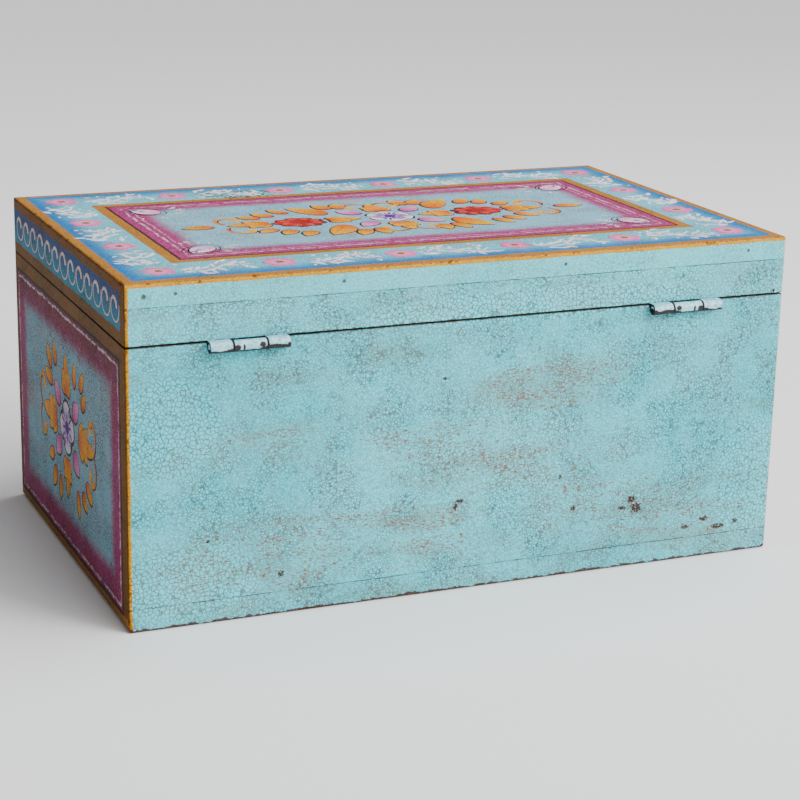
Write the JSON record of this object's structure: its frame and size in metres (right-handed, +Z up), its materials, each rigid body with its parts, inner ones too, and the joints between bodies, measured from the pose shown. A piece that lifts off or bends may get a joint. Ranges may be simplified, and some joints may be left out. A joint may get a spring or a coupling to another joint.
{
  "type": "wooden chest",
  "caption": "Rectangular painted wooden storage chest with a box lid on butt hinges; the lid folds right back.",
  "frame": {"origin": "centre of the underside", "axes": "+X along the length, +Y towards the hinges at the back, +Z up"},
  "size_m": [0.42, 0.267, 0.203],
  "materials": {
    "turquoise_paint": "crackled turquoise paint on wood, worn at the edges",
    "floral_paint": "painted border and flower panels over wood, satin varnish",
    "bare_wood": "stained wood",
    "hinge_paint": "pale blue paint chipped to dark iron",
    "steel": "dull dark steel"
  },
  "bodies": {
    "body": {"floor_board": "bare_wood", "back_board": "turquoise_paint", "front_board": "floral_paint", "left_end_board": "floral_paint", "right_end_board": "floral_paint", "carcass_nails": "steel", "floor_nails": "steel", "left_hinge_body_leaf": "hinge_paint", "left_hinge_body_screws": "steel", "right_hinge_body_leaf": "hinge_paint", "right_hinge_body_screws": "steel"},
    "lid": {"lid_top_board": "floral_paint", "lid_back_strip": "turquoise_paint", "lid_back_rail": "turquoise_paint", "lid_front_rail": "floral_paint", "lid_left_rail": "floral_paint", "lid_right_rail": "floral_paint", "lid_strip_nails": "steel", "lid_corner_nails": "steel", "lid_top_nails": "steel", "left_hinge_lid_leaf": "hinge_paint", "left_hinge_pin": "hinge_paint", "left_hinge_lid_screws": "steel", "right_hinge_lid_leaf": "hinge_paint", "right_hinge_pin": "hinge_paint", "right_hinge_lid_screws": "steel"}
  },
  "joints": [
    {"name": "lid_hinge", "type": "hinge", "parent": "body", "child": "lid", "pos_m": [0, 0.1337, 0.1647], "axis": [-1, 0, 0], "range_deg": [0, 190]}
  ]
}
